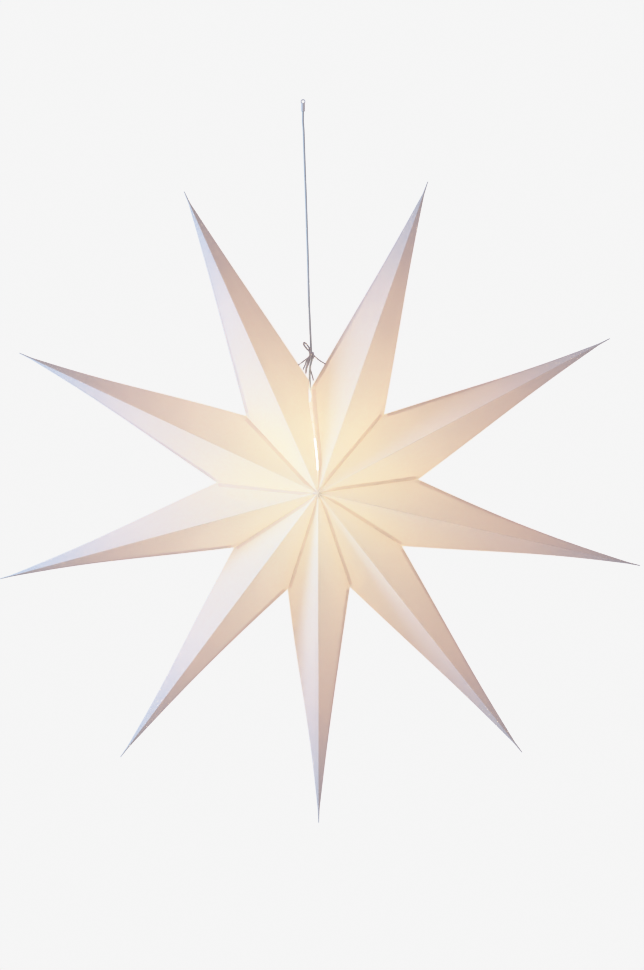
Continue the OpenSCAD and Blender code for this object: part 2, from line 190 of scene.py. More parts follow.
@dataclass(frozen=True)
class TranslucentPaper(Finish):
    """Uncoated white card of about 250 g per square metre, creased and folded, lit from inside.

    The lamp's light bounces about between the white walls and thins out towards the tips, where only the last
    of it comes through; this is painted on as a glow, an emission that fades by distance from the hub. Two
    glued sheets of card let less and warmer light through, so painted shade makes each flap a darker strip.
    The fibres clump into soft clouds a few millimetres across, and the surface is dead matt.
    """

    sizes: "StarSizes"
    name: str = "folded translucent card"
    front_hex: str = "#F4F2F1"
    through_hex: str = "#F8F2E0"
    through_share: float = 0.28
    # painted shade: how much less and warmer the painted glow is where a flap lies under the sheet
    painted_flap_shade: tuple[float, float, float, float] = (0.62, 0.48, 0.42, 1.0)
    # painted glow: the emission's colour by share of the way from the hub to the tips, standing in for the
    # lamp's bounced light
    painted_glow_stops: tuple[tuple[float, Triple], ...] = (
        (0.006, (0.000, 0.000, 0.000)),
        (0.024, (0.185, 0.174, 0.134)),
        (0.090, (0.173, 0.162, 0.122)),
        (0.167, (0.149, 0.133, 0.094)),
        (0.242, (0.139, 0.117, 0.080)),
        (0.303, (0.141, 0.112, 0.076)),
        (0.394, (0.144, 0.108, 0.071)),
        (0.515, (0.140, 0.096, 0.060)),
        (0.636, (0.127, 0.081, 0.052)),
        (0.758, (0.086, 0.054, 0.038)),
        (0.864, (0.057, 0.040, 0.035)),
        (1.000, (0.000, 0.000, 0.000)),
    )
    cloud_size: float = 7 * MM
    fibre_size: float = 0.9 * MM
    pulp_roughness: float = 0.6
    matt_roughness: float = 0.6
    fibre_low: float = 0.985
    pulp_low: float = 0.96
    painted_glow_high: float = 1.03
    dent_strength: float = 0.1
    dent_depth: float = 0.1 * MM
    step_width: float = 0.25 * MM

    def below(self, tree: Tree, value: object, limit: object) -> Socket:
        """1 where the value is under the limit, else 0, with a soft step between."""
        gap = maths(tree, "SUBTRACT", limit, value)
        span = {"Value": gap, "From Min": -self.step_width / 2, "From Max": self.step_width / 2}
        return add_node(tree, "ShaderNodeMapRange", span).outputs["Result"]

    def pulp(self, tree: Tree, low: float, high: float) -> Socket:
        """The soft clouds that the fibres clump into, from low to high."""
        return spread(tree, clouds(tree, self.cloud_size, 3.0, self.pulp_roughness), low, high)

    def flap_mask(self, tree: Tree) -> Socket:
        """1 where a flap lies under the sheet, from the sheet's own distance maps, else 0; it places the
        painted flap shade.

        The map "valley" holds how far a place is from the glued valley and from the hub along it, "notch"
        how far it is from the notch along the valley and from the closing edge, and "closing" how far it is
        from the notch along that edge. All are in metres.
        """
        sizes = self.sizes
        maps = {}
        for name in ("valley", "notch", "closing"):
            uv = add_node(tree, "ShaderNodeUVMap", uv_map=name).outputs["UV"]
            maps[name] = add_node(tree, "ShaderNodeSeparateXYZ", {0: uv})
        off, from_hub = maps["valley"].outputs["X"], maps["valley"].outputs["Y"]
        from_notch, edge_off = maps["notch"].outputs["X"], maps["notch"].outputs["Y"]
        edge_run = maps["closing"].outputs["X"]
        hub_slope, notch_slope = (run_per_width(a) for a in (sizes.flap_hub_slant, sizes.flap_notch_slant))
        hub_cut = maths(tree, "MULTIPLY_ADD", off, hub_slope, sizes.flap_hub_bare)
        notch_cut = maths(tree, "MULTIPLY_ADD", off, notch_slope, sizes.flap_bare)
        valley = self.below(tree, off, sizes.valley_flap_w)
        valley = maths(tree, "MULTIPLY", valley, self.below(tree, hub_cut, from_hub))
        valley = maths(tree, "MULTIPLY", valley, self.below(tree, notch_cut, from_notch))
        run = sizes.fold_r - sizes.mouth_right_r
        slope = (sizes.side_flap_tip_w - sizes.side_flap_w) / run
        closing = self.below(tree, edge_off, maths(tree, "MULTIPLY_ADD", edge_run, slope, sizes.side_flap_w))
        closing = maths(tree, "MULTIPLY", closing, self.below(tree, sizes.flap_bare, edge_run))
        return maths(tree, "MAXIMUM", valley, closing)

    def glow(self, tree: Tree) -> Socket:
        """The painted glow: the colour of the light through one layer, by its distance from the hub as seen
        from the front.
        """
        place = add_node(tree, "ShaderNodeTexCoord").outputs["Object"]
        flat = add_node(tree, "ShaderNodeVectorMath", {0: place, 1: (1.0, 0.0, 1.0)}, operation="MULTIPLY")
        ends = {0: flat.outputs[0], 1: self.sizes.centre}
        reach = add_node(tree, "ShaderNodeVectorMath", ends, operation="DISTANCE")
        share = maths(tree, "MULTIPLY", reach.outputs["Value"], 1 / self.sizes.tip_r)
        ramp = add_node(tree, "ShaderNodeValToRGB", {"Fac": share})
        stops = ramp.color_ramp.elements
        while len(stops) < len(self.painted_glow_stops):
            stops.new(0.5)
        for stop, (place, colour) in zip(stops, self.painted_glow_stops, strict=True):
            stop.position = place
            stop.color = (*colour, 1.0)
        return ramp.outputs["Color"]

    def shader(self, tree: Tree) -> Socket:
        """Matt card that lets some light through, with the lamp's bounced light painted on as a glow, and
        painted shade where flaps lie under it.
        """
        fibres = clouds(tree, self.fibre_size, 2.0, self.pulp_roughness)
        surface = multiplied(tree, linear(self.front_hex), spread(tree, fibres, self.fibre_low, 1.0))
        through = multiplied(tree, linear(self.through_hex), self.pulp(tree, self.pulp_low, 1.0))
        # painted shade: the glow is darker and warmer where a flap lies under the sheet
        flap_shade = blend(tree, self.flap_mask(tree), (1.0, 1.0, 1.0, 1.0), self.painted_flap_shade)
        # painted glow: an emission that stands in for the lamp's light bounced about inside the star, uneven
        # with the fibre clouds
        light = multiplied(tree, self.glow(tree), flap_shade)
        light = multiplied(tree, light, self.pulp(tree, self.pulp_low, self.painted_glow_high))
        dents = bumped(tree, self.pulp(tree, 0.0, 1.0), self.dent_strength, self.dent_depth)
        card = {"Color": surface, "Roughness": self.matt_roughness, "Normal": dents}
        matt = add_node(tree, "ShaderNodeBsdfDiffuse", card)
        shone = add_node(tree, "ShaderNodeBsdfTranslucent", {"Color": through})
        sheet = {"Fac": self.through_share, 1: matt.outputs["BSDF"], 2: shone.outputs["BSDF"]}
        mix = add_node(tree, "ShaderNodeMixShader", sheet)
        lamp = add_node(tree, "ShaderNodeEmission", {"Color": light, "Strength": 1.0})
        both = add_node(tree, "ShaderNodeAddShader", {0: mix.outputs["Shader"], 1: lamp.outputs["Emission"]})
        return both.outputs["Shader"]

    def make(self) -> Material:
        """Builds the finished material, whose faint painted glow isn't sampled as a light of its own."""
        material = super().make()
        material.cycles.emission_sampling = "NONE"
        return material


@dataclass(frozen=True)
class MouldedPlastic(Finish):
    """Injection-moulded plastic: even colour, a faint spark-eroded grain and a soft satin shine."""

    name: str
    colour_hex: str
    roughness: float = 0.45
    grain_size: float = 0.5 * MM
    grain_strength: float = 0.2
    grain_depth: float = 0.05 * MM
    tone_size: float = 12 * MM
    tone_low: float = 0.95

    def shader(self, tree: Tree) -> Socket:
        """Satin plastic whose tone varies a little and whose grain is a bump."""
        tone = spread(tree, clouds(tree, self.tone_size, 1.0), self.tone_low, 1.0)
        grain = clouds(tree, self.grain_size, 1.0)
        skin = {
            "Base Color": multiplied(tree, linear(self.colour_hex), tone),
            "Roughness": self.roughness,
            "IOR": 1.5,
            "Normal": bumped(tree, grain, self.grain_strength, self.grain_depth),
        }
        return principled(tree, skin)


@dataclass(frozen=True)
class DrawnBrass(Finish):
    """Brass sheet drawn into a shell: a warm metal with dull spots of tarnish."""

    name: str = "drawn brass sheet"
    bright_hex: str = "#D9BC78"
    dull_hex: str = "#A98A4E"
    tarnish_size: float = 5 * MM
    roughness: float = 0.32

    def shader(self, tree: Tree) -> Socket:
        """Bright metal that goes over into duller metal in the spots."""
        tarnish = clouds(tree, self.tarnish_size, 4.0)
        colour = blend(tree, tarnish, linear(self.bright_hex), linear(self.dull_hex))
        skin = {"Base Color": colour, "Metallic": 1.0, "Roughness": self.roughness}
        return principled(tree, skin)


@dataclass(frozen=True)
class FrostedBulb(Finish):
    """Frosted glass with a light inside: it glows all over, a touch unevenly, and hides what is in it."""

    name: str = "frosted glass, lit"
    glow_hex: str = "#FDFFF7"
    strength: float = 70.0
    frost_size: float = 9 * MM
    frost_low: float = 0.92

    def shader(self, tree: Tree) -> Socket:
        """Rough glass that glows in its own colour."""
        frost = spread(tree, clouds(tree, self.frost_size, 2.0), self.frost_low, 1.0)
        colour = multiplied(tree, linear(self.glow_hex), frost)
        glass = {
            "Base Color": colour,
            "Roughness": 0.5,
            "IOR": 1.5,
            "Emission Color": colour,
            "Emission Strength": self.strength,
        }
        return principled(tree, glass)


@dataclass(frozen=True)
class TwistedThread(Finish):
    """Soft cotton-like thread: matt, with the shadow lines of its twist running round it."""

    name: str = "twisted cotton thread"
    light_hex: str = "#D8D3D3"
    dark_hex: str = "#CDC7C8"
    turns_per_length: float = 1 / (3 * MM)
    roughness: float = 0.85

    def shader(self, tree: Tree) -> Socket:
        """Two plies side by side; the UV map holds turns around the thread in x and metres along it in y."""
        place = add_node(tree, "ShaderNodeSeparateXYZ", {0: add_node(tree, "ShaderNodeUVMap").outputs["UV"]})
        turned = maths(tree, "MULTIPLY_ADD", place.outputs["Y"], self.turns_per_length, place.outputs["X"])
        crest = maths(tree, "SINE", maths(tree, "MULTIPLY", turned, 2 * math.tau))
        share = maths(tree, "MULTIPLY_ADD", crest, 0.5, 0.5)
        colour = blend(tree, share, linear(self.dark_hex), linear(self.light_hex))
        skin = {"Base Color": colour, "Roughness": self.roughness, "IOR": 1.5}
        return principled(tree, skin)


@dataclass(frozen=True)
class Plane:
    """A flat sheet's face: a unit normal that points out of the star, and its distance from the centre."""

    normal: Array
    distance: float

    @classmethod
    def through(cls, a: Array, b: Array, c: Array, away: Array) -> "Plane":
        """The plane through three points, facing away from a fourth.

        Args:
            a: First point.
            b: Second point.
            c: Third point.
            away: A point that the normal turns its back on.

        Returns:
            The plane.
        """
        normal = unit(np.cross(b - a, c - a))
        if normal @ (a - away) < 0:
            normal = -normal
        return cls(normal, float(normal @ a))


def meet(p: Plane, q: Plane, r: Plane) -> Array:
    """The one point that three planes share."""
    return np.linalg.solve(np.array([p.normal, q.normal, r.normal]), [p.distance, q.distance, r.distance])


def run_per_width(slant: float) -> float:
    """How far a flap's end, cut at this many degrees to its edge, runs along for each metre across."""
    return 1 / math.tan(math.radians(slant))


def polar(radius: float, degrees: float) -> Array:
    """A point in the star's plane at a radius and an angle, anticlockwise from the right."""
    angle = math.radians(degrees)
    return np.array([radius * math.cos(angle), radius * math.sin(angle), 0.0])


def unit(vector: Array) -> Array:
    """The vector at length 1."""
    return vector / np.linalg.norm(vector)


def linked(name: str, data: object) -> Object:
    """Makes an object from a mesh, a light or a camera, and links it into the scene."""
    made = bpy.data.objects.new(name, data)
    bpy.context.scene.collection.objects.link(made)
    return made


@dataclass
class MeshParts:
    """Grids of points gathered into one mesh, with one or more named UV maps."""

    names: tuple[str, ...] = ("UVMap",)
    points: list[Array] = field(default_factory=list)
    quads: list[Array] = field(default_factory=list)
    maps: list[Array] = field(default_factory=list)
    count: int = 0

    def add_grid(self, grid: Array, maps: Array, flip: bool = False) -> None:
        """Adds a grid of points as quads.

        Args:
            grid: Array of rows by columns by 3.
            maps: Array of rows by columns by twice the number of UV maps.
            flip: Turns the quads over.
        """
        rows, columns = grid.shape[:2]
        index = np.arange(rows * columns).reshape(rows, columns) + self.count
        quads = np.stack([index[:-1, :-1], index[:-1, 1:], index[1:, 1:], index[1:, :-1]], axis=-1)
        quads = quads.reshape(-1, 4)
        self.points.append(grid.reshape(-1, 3))
        self.maps.append(maps.reshape(rows * columns, -1))
        self.quads.append(quads[:, ::-1] if flip else quads)
        self.count += rows * columns

    def make(self, name: str, material: Material, weld: float = 0.0, smooth: bool = False) -> Object:
        """Makes the object.

        Args:
            name: The object's name.
            material: Its finish.
            weld: Points closer than this become one.
            smooth: Shades the faces smoothly.

        Returns:
            The new object, linked into the scene.
        """
        points = np.concatenate(self.points)
        quads = np.concatenate(self.quads)
        maps = np.concatenate(self.maps)
        mesh = bpy.data.meshes.new(name)
        mesh.from_pydata(points.tolist(), [], quads.tolist())
        for number, title in enumerate(self.names):
            values = maps[quads.reshape(-1), 2 * number : 2 * number + 2].astype(np.float32)
            mesh.uv_layers.new(name=title).data.foreach_set("uv", values.reshape(-1))
        mesh.polygons.foreach_set("use_smooth", [smooth] * len(quads))
        mesh.materials.append(material)
        mesh.update()
        made = linked(name, mesh)
        if weld:
            shape = bmesh.new()
            shape.from_mesh(mesh)
            bmesh.ops.remove_doubles(shape, verts=shape.verts, dist=weld)
            shape.to_mesh(mesh)
            shape.free()
        return made


@dataclass(frozen=True)
class Fold:
    """How one hand-folded point strays from a straight one, in millimetres.

    A bow moves the middle of a side edge outwards, a skew moves its first half outwards and its second half
    inwards, and the lean moves the start of the tip fold anticlockwise.
    """

    axis: float
    left_bow: float
    left_skew: float
    right_bow: float
    right_skew: float
    lean: float


@dataclass(frozen=True)
class StarSizes:
    """The star's sizes, in metres and degrees. Notches run clockwise from the one between points 1 and 2."""

    folds: tuple[Fold, ...] = (
        Fold(70.5, -1.0, 0.5, -1.1, 0.6, 0.8),
        Fold(27.7, -2.7, 0.8, -1.7, 0.7, 1.7),
        Fold(-12.6, -6.3, 0.2, -3.1, 0.9, -1.1),
        Fold(-51.8, -2.0, 0.6, -1.4, 0.5, -0.4),
        Fold(-89.6, -1.6, 0.3, -1.2, 1.2, -2.7),
        Fold(-126.7, -4.0, 0.0, -1.5, 1.1, -1.0),
        Fold(-165.2, -3.2, 1.0, -2.5, 0.7, 2.7),
        Fold(-204.7, -2.7, 0.7, -1.7, 1.1, -3.4),
        Fold(-246.0, -1.3, 0.3, -0.4, 0.3, -0.1),
    )
    notches: tuple[tuple[float, float], ...] = (
        (0.1554, 50.0), (0.1530, 7.7), (0.1505, -32.4), (0.1505, -71.4),
        (0.1530, -107.6), (0.1520, -147.0), (0.1550, -185.8), (0.1600, -226.9),
    )  # fmt: skip
    tip_r: float = 0.500
    hub_h: float = 0.110
    hub_hole_w: float = 0.0012
    mouth_angle: float = 94.2
    mouth_spread: float = 0.9
    mouth_left_r: float = 0.171
    mouth_right_r: float = 0.160
    mouth_left_drift: tuple[float, ...] = (-0.06, 2.16, -0.58, 0.3, -0.04)
    mouth_right_drift: tuple[float, ...] = (1.15, 1.26, -0.05, 0.06, -0.27)
    paper_t: float = 0.0003
    glue_t: float = 0.00005
    valley_flap_w: float = 0.0078
    mouth_flap_w: float = 0.009
    side_flap_w: float = 0.009
    side_flap_tip_w: float = 0.0015
    flap_bare: float = 0.004
    flap_hub_bare: float = 0.005
    flap_notch_slant: float = 60
    flap_hub_slant: float = 20
    tip_fold_l: float = 0.020
    tip_fold_w: float = 0.003
    tip_end_share: float = 0.5
    centre: Triple = (0.023, 0.0, -0.5928)

    @property
    def fold_r(self) -> float:
        """How far the tip folds begin from the hub."""
        return self.tip_r - self.tip_fold_l

    def upright(self, points: Array) -> Array:
        """Stands points of the face-up star upright under the eye: (x, y, z) goes to (x, -z, y).

        Args:
            points: Array whose last axis is x, y and z, with z towards the front.

        Returns:
            The points in the row's frame.
        """
        turned = np.stack([points[..., 0], -points[..., 2], points[..., 1]], axis=-1)
        return turned + np.array(self.centre)

    def placed(self, route_mm: Route) -> Array:
        """Millimetre points from the star's centre, placed in the scene in metres."""
        return np.array(route_mm) * MM + np.array(self.centre)


@dataclass
class PaperPoint:
    """One point of the star: a sheet folded into four long panels, with its closing flap and valley flaps."""

    sizes: StarSizes
    index: int
    steps_along: int = 36
    steps_across: int = 12
    steps_flap: int = 2
    sag: float = 1.2 * MM
    least_lift: float = -0.4
    ripple: float = 0.25

    @property
    def name(self) -> str:
        """The node's name."""
        return f"point_{self.index + 1}"

    @property
    def fold(self) -> Fold:
        """How this point was folded."""
        return self.sizes.folds[self.index]

    def neighbour(self, side: Side) -> "PaperPoint":
        """The point on that side of this one."""
        count = len(self.sizes.folds)
        return PaperPoint(self.sizes, (self.index - side.value) % count)

    def is_free(self, side: Side) -> bool:
        """True where this side is an edge of the unglued mouth."""
        last = len(self.sizes.folds) - 1
        return self.index == (0 if side is Side.LEFT else last)

    def notch(self, side: Side) -> Array:
        """The corner where this point's side edge meets its valley edges."""
        sizes = self.sizes
        if self.is_free(side):
            radius = sizes.mouth_right_r if side is Side.LEFT else sizes.mouth_left_r
            return polar(radius, sizes.mouth_angle - side.value * sizes.mouth_spread / 2)
        return polar(*sizes.notches[self.index - (side is Side.LEFT)])

    def hub(self, face: Face) -> Array:
        """The star's hub on that face."""
        return np.array([0.0, 0.0, face.value * self.sizes.hub_h])

    def fold_middle(self) -> Array:
        """The middle of the tip fold's start."""
        fold = self.fold
        return polar(self.sizes.fold_r, fold.axis) + polar(fold.lean * MM, fold.axis + 90)

    def fold_corner(self, side: Side) -> Array:
        """Where the side edge runs into the solid tip fold."""
        return self.fold_middle() + side.value * polar(self.sizes.tip_fold_w / 2, self.fold.axis + 90)

    def panel(self, side: Side, face: Face) -> Plane:
        """The plane of one of the four panels, before it sags."""
        inside = polar(self.sizes.mouth_right_r, self.fold.axis)
        return Plane.through(self.hub(face), self.notch(side), self.fold_corner(side), inside)

    def ridge_end(self, face: Face, radius: float) -> Array:
        """The point on a face's ridge at a radius."""
        cut = Plane(polar(1.0, self.fold.axis), radius)
        return meet(self.panel(Side.LEFT, face), self.panel(Side.RIGHT, face), cut)

    def drift(self, side: Side, v: Array) -> Array:
        """How far a free valley edge wanders to the right, seen from the front, at shares v of the root.

        With s the share of the way from the hub to the notch, it is the sum of size k * sin(k pi s).
        """
        sizes = self.sizes
        if not self.is_free(side):
            return np.zeros((*v.shape, 3))
        first = 1 / self.steps_across
        share = np.clip((v - first) / (1 - first), 0, 1)[..., None]
        sines = np.sin(math.pi * share * np.arange(1, len(sizes.mouth_left_drift) + 1))
        terms = sizes.mouth_right_drift if side is Side.LEFT else sizes.mouth_left_drift
        return (sines @ np.array(terms))[..., None] * MM * polar(1.0, sizes.mouth_angle - 90)

    def surface(self, side: Side, face: Face, u: Array, v: Array, depth: float = 0.0) -> Array:
        """Points on a panel's outer face.

        u runs from the root, which is the hub's clipped corner and then the valley, to the tip fold. v runs
        from the ridge to the side edge. The flat point is (1 - u) * root(v) + u * fold(v). It moves along
        the panel's normal by sag * (lift * sin(pi u) sin(pi v) + a slow wave, ripple high), and away
        from the axis by v * (bow * sin(pi u) + skew * sin(2 pi u)).

        Args:
            side: Which side of the ridge.
            face: Front or back.
            u: Shares of the way to the tip.
            v: Shares of the way to the side edge, the same shape as u.
            depth: How far below the outer face the points lie.

        Returns:
            Array of u's shape by 3, in the face-up star.
        """
        sizes = self.sizes
        drift = self.drift(side, v)
        u, v = u[..., None], v[..., None]
        plane = self.panel(side, face)
        clip = sizes.hub_hole_w / 2
        hub, notch = self.hub(face), self.notch(side)
        valley_end = hub + (notch - hub) * clip / np.linalg.norm(notch[:2])
        ridge_root = self.ridge_end(face, clip)
        first = 1 / self.steps_across
        clipped = ridge_root + (valley_end - ridge_root) * v / first
        valley = valley_end + (notch - valley_end) * (v - first) / (1 - first)
        root = np.where(v < first, clipped, valley) + drift
        ridge_fold = self.ridge_end(face, sizes.fold_r)
        corner = self.fold_corner(side)
        flat = (1 - u) * root + u * (ridge_fold + (corner - ridge_fold) * v)
        seed = 100 + 10 * self.index + 2 * (side is Side.LEFT) + (face is Face.FRONT)
        rng = np.random.default_rng(seed)
        phase, lift = rng.uniform(0, math.tau), rng.uniform(self.least_lift, 1.0)
        wave = self.ripple * np.sin(3 * math.pi * u + phase) * np.sin(2 * math.pi * v)
        height = self.sag * np.sin(math.pi * u) * (lift * np.sin(math.pi * v) + wave)
        left = side is Side.LEFT
        bow = self.fold.left_bow if left else self.fold.right_bow
        skew = self.fold.left_skew if left else self.fold.right_skew
        shift = (bow * np.sin(math.pi * u) + skew * np.sin(2 * math.pi * u)) * MM
        way = unit(corner - notch)
        outwards = side.value * np.array([-way[1], way[0], 0.0])
        return flat + (height - depth) * plane.normal + v * shift * outwards

    def panel_grid(self, side: Side, face: Face) -> Array:
        """A whole panel as a grid of rows by columns by 3."""
        u = np.linspace(0, 1, self.steps_along + 1)
        v = np.linspace(0, 1, self.steps_across + 1)
        return self.surface(side, face, *np.meshgrid(u, v, indexing="ij"))

    def under(self) -> float:
        """How far below a panel's outer face a flap's own outer face lies."""
        return self.sizes.paper_t + self.sizes.glue_t

    def valley_flap(self, face: Face) -> tuple[Array, Plane]:
        """The flap along this point's left valley, under the panel that carries it.

        At a share v of the carrier's valley, a point w away from it lies at the share u = w / reach(v) of the
        way to the tip, where reach(v) is how far fold(v) is from the valley's line.

        Args:
            face: Front or back.

        Returns:
            Its grid and the plane of the panel that it lies under.
        """
        sizes = self.sizes
        free = self.is_free(Side.LEFT)
        owner = self if free else self.neighbour(Side.LEFT)
        side = Side.LEFT if free else Side.RIGHT
        hub, notch = self.hub(face), owner.notch(side)
        length = np.linalg.norm(notch - hub)
        widest = sizes.mouth_flap_w if free else sizes.valley_flap_w
        width = np.linspace(0, widest, self.steps_flap + 1)[:, None]
        near = sizes.flap_hub_bare + width * run_per_width(sizes.flap_hub_slant)
        far = length - sizes.flap_bare - width * run_per_width(sizes.flap_notch_slant)
        along = near + (far - near) * np.linspace(0, 1, self.steps_along + 1)
        first = 1 / self.steps_across
        v = first + (1 - first) * along / length
        ends = owner.surface(side, face, np.ones_like(v), v)
        reach = np.linalg.norm(np.cross(ends - hub, unit(notch - hub)), axis=-1)
        return owner.surface(side, face, width / reach, v, self.under()), owner.panel(side, face)

    def side_flap(self) -> tuple[Array, Plane]:
        """The flap that closes the point along its left edge, under the front panel.

        Its free edge keeps a width w(u) from the side edge, which is the share w(u) / across(u) of the panel,
        where across(u) is how far the ridge is from the side edge there.

        Returns:
            Its grid and the plane of the panel that it lies under.
        """
        sizes = self.sizes
        notch, corner = self.notch(Side.LEFT), self.fold_corner(Side.LEFT)
        start = sizes.flap_bare / np.linalg.norm(corner - notch)
        u = np.linspace(start, 1, self.steps_along + 1)[:, None]
        ridge = self.surface(Side.LEFT, Face.FRONT, u, np.zeros_like(u))
        across = np.linalg.norm(np.cross(ridge - notch, unit(corner - notch)), axis=-1)
        width = sizes.side_flap_w + (sizes.side_flap_tip_w - sizes.side_flap_w) * u
        v = 1 - width / across * np.linspace(0, 1, self.steps_flap + 1)
        u = np.broadcast_to(u, v.shape)
        return self.surface(Side.LEFT, Face.FRONT, u, v, self.under()), self.panel(Side.LEFT, Face.FRONT)

    def tip_fold(self) -> list[Array]:
        """The tip fold's four sides and its end, as grids of two rows, tapering along the point's axis."""
        sizes = self.sizes
        ring = np.array(
            [
                self.fold_corner(Side.LEFT),
                self.ridge_end(Face.FRONT, sizes.fold_r),
                self.fold_corner(Side.RIGHT),
                self.ridge_end(Face.BACK, sizes.fold_r),
            ]
        )
        middle = self.fold_middle()
        end = middle + sizes.tip_end_share * (ring - middle) + polar(sizes.tip_fold_l, self.fold.axis)
        sides = [np.array([[ring[i], ring[(i + 1) % 4]], [end[i], end[(i + 1) % 4]]]) for i in range(4)]
        return sides + [np.array([[end[0], end[1]], [end[3], end[2]]])]

    def distances(self, side: Side, face: Face, grid: Array) -> Array:
        """The distance maps that tell the paper's finish where a flap lies under a panel, for its painted
        flap shade.

        Args:
            side: Which side of the ridge.
            face: Front or back.
            grid: The panel's points.

        Returns:
            Array of rows by columns by 6, in metres; a map without a flap holds 1 metre everywhere.
        """
        sizes = self.sizes
        hub, notch, corner = self.hub(face), self.notch(side), self.fold_corner(side)
        along, closing = unit(notch - hub), unit(corner - notch)
        maps = np.ones((*grid.shape[:2], 6))
        if self.is_free(side) is (side is Side.LEFT):
            u, v = np.meshgrid(*(np.linspace(0, 1, count) for count in grid.shape[:2]), indexing="ij")
            straight = grid - (1 - u)[..., None] * self.drift(side, v)
            maps[..., 0] = np.linalg.norm(np.cross(straight - hub, along), axis=-1)
            if self.is_free(side):
                maps[..., 0] *= sizes.valley_flap_w / sizes.mouth_flap_w
            maps[..., 1] = (grid - hub) @ along
            maps[..., 2] = np.linalg.norm(notch - hub) - maps[..., 1]
        if side is Side.LEFT and face is Face.FRONT:
            edge = grid[:, -1:]
            maps[..., 3] = np.linalg.norm(np.cross(grid - edge, closing), axis=-1)
            maps[..., 4] = (grid - notch) @ closing
        return maps

    def build(self, paper: Material) -> Object:
        """Builds the sheet and gives it its thickness, inwards from its outer face.

        Args:
            paper: The paper's finish.

        Returns:
            The finished point, standing for its solid.
        """
        sizes = self.sizes
        middle = polar((sizes.mouth_right_r + sizes.tip_r) / 2, self.fold.axis)

        def add(
            parts: MeshParts, grid: Array, outward: Array, maps: Array | None = None
        ) -> None:
            normal = np.cross(grid[0, -1] - grid[0, 0], grid[-1, 0] - grid[0, 0])
            maps = np.ones((*grid.shape[:2], 6)) if maps is None else maps
            parts.add_grid(sizes.upright(grid), maps, flip=bool(normal @ outward < 0))

        names = ("valley", "notch", "closing")
        sheet = MeshParts(names)
        for side in Side:
            for face in Face:
                grid = self.panel_grid(side, face)
                add(sheet, grid, self.panel(side, face).normal, self.distances(side, face, grid))
        for strip in self.tip_fold():
            add(sheet, strip, strip.reshape(-1, 3).mean(axis=0) - middle)
        flaps = MeshParts(names)
        for grid, carrier in (*(self.valley_flap(face) for face in Face), self.side_flap()):
            add(flaps, grid, carrier.normal)
        made = sheet.make(self.name + "_sheet", paper, weld=SHEET_WELD)
        for piece in (made, flaps.make(self.name + "_flaps", paper)):
            wall = piece.modifiers.new("thickness", "SOLIDIFY")
            wall.thickness = sizes.paper_t
            wall.offset = -1.0
            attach(piece, "root")
        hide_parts(self.name)
        return made


def smooth_curve(points: Array, steps: int) -> Array:
    """A smooth curve through points: on each stretch the cubic that passes its ends and heads for the next.

    Args:
        points: Array of points by 3.
        steps: How many parts each stretch is cut into.

    Returns:
        Array of the curve's points.
    """
    padded = np.concatenate([points[:1], points, points[-1:]])
    a, b, c, d = (padded[i : len(points) - 1 + i, None] for i in range(4))
    u = (np.arange(steps) / steps)[None, :, None]
    curve = 0.5 * (2 * b + (c - a) * u + (2 * a - 5 * b + 4 * c - d) * u**2 + (3 * b - a - 3 * c + d) * u**3)
    return np.concatenate([curve.reshape(-1, 3), points[-1:]])


def metres_along(path: Array) -> Array:
    """How far each point of a path is from its start, measured along the path."""
    return np.concatenate([[0.0], np.cumsum(np.linalg.norm(np.diff(path, axis=0), axis=1))])


def tube_grid(path: Array, radius: Array | float, sides: int) -> tuple[Array, Array]:
    """A round tube along a path that never runs along Y.

    Each ring lies square to the path, at path + radius * (cos(a) * right + sin(a) * up), where right is the
    cross product of Y and the path's direction. radius may vary along the path and around it. The last column
    lies on the first, so the UV map has its seam between them.

    Args:
        path: Array of points by 3.
        radius: One number, or an array of points by sides + 1.
        sides: How many sides the tube has.

    Returns:
        The grid, and its UV map: turns around the tube, and metres along it.
    """
    way = np.gradient(path, axis=0)
    way /= np.linalg.norm(way, axis=1, keepdims=True)
    right = np.cross([0.0, 1.0, 0.0], way)
    right /= np.linalg.norm(right, axis=1, keepdims=True)
    up = np.cross(way, right)
    turns = np.arange(sides + 1) / sides
    angle = turns * math.tau
    reach = np.broadcast_to(radius, (len(path), sides + 1))[..., None]
    ring = np.cos(angle)[None, :, None] * right[:, None] + np.sin(angle)[None, :, None] * up[:, None]
    uv = np.stack(np.broadcast_arrays(turns[None], metres_along(path)[:, None]), axis=-1)
    return path[:, None] + reach * ring, uv


def closed_tube(
    name: str, path: Array, radius: Array | float, sides: int, material: Material
) -> Object:
    """Makes a tube whose two ends are closed.

    Args:
        name: The object's name.
        path: The centreline.
        radius: One number, or an array of points by sides + 1.
        sides: How many sides the tube has.
        material: Its finish.

    Returns:
        The tube's object.
    """
    grid, uv = tube_grid(path, radius, sides)
    first, last = (np.repeat(end[None, None], sides + 1, axis=1) for end in (path[0], path[-1]))
    parts = MeshParts()
    parts.add_grid(np.concatenate([first, grid, last]), np.concatenate([uv[:1], uv, uv[-1:]]))
    return parts.make(name, material, weld=TUBE_WELD, smooth=True)


@dataclass
class PowerCord:
    """The thin lamp cord, from the sleeve of the hanging eye down to the cord grip."""

    sizes: StarSizes
    material: Material
    diameter: float = 3.3 * MM
    sides: int = 16
    steps: int = 6
    route_mm: Route = (
        (-23, 0, 578), (-23, 0, 570), (-23, 0, 562), (-22, 0, 546), (-20.5, 0, 500),
        (-18.5, 0, 445), (-17, 0, 398), (-15.5, 0, 352), (-14, 0, 292), (-12, 0, 246),
        (-10.5, 0, 214), (-9.5, 0, 203), (-12, 0, 192), (-13, 0, 180), (-12.6, 0, 168),
        (-12, 0, 158), (-9.6, 0, 152), (-8.6, 0, 147), (-9.2, 0, 142), (-10, 0, 137),
    )  # fmt: skip

    def build(self) -> Object:
        """Returns:
            The cord.
        """
        path = smooth_curve(self.sizes.placed(self.route_mm), self.steps)
        made = closed_tube("lamp_cord", path, self.diameter / 2, self.sides, self.material)
        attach(made, "root")
        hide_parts("power_cord")
        return made


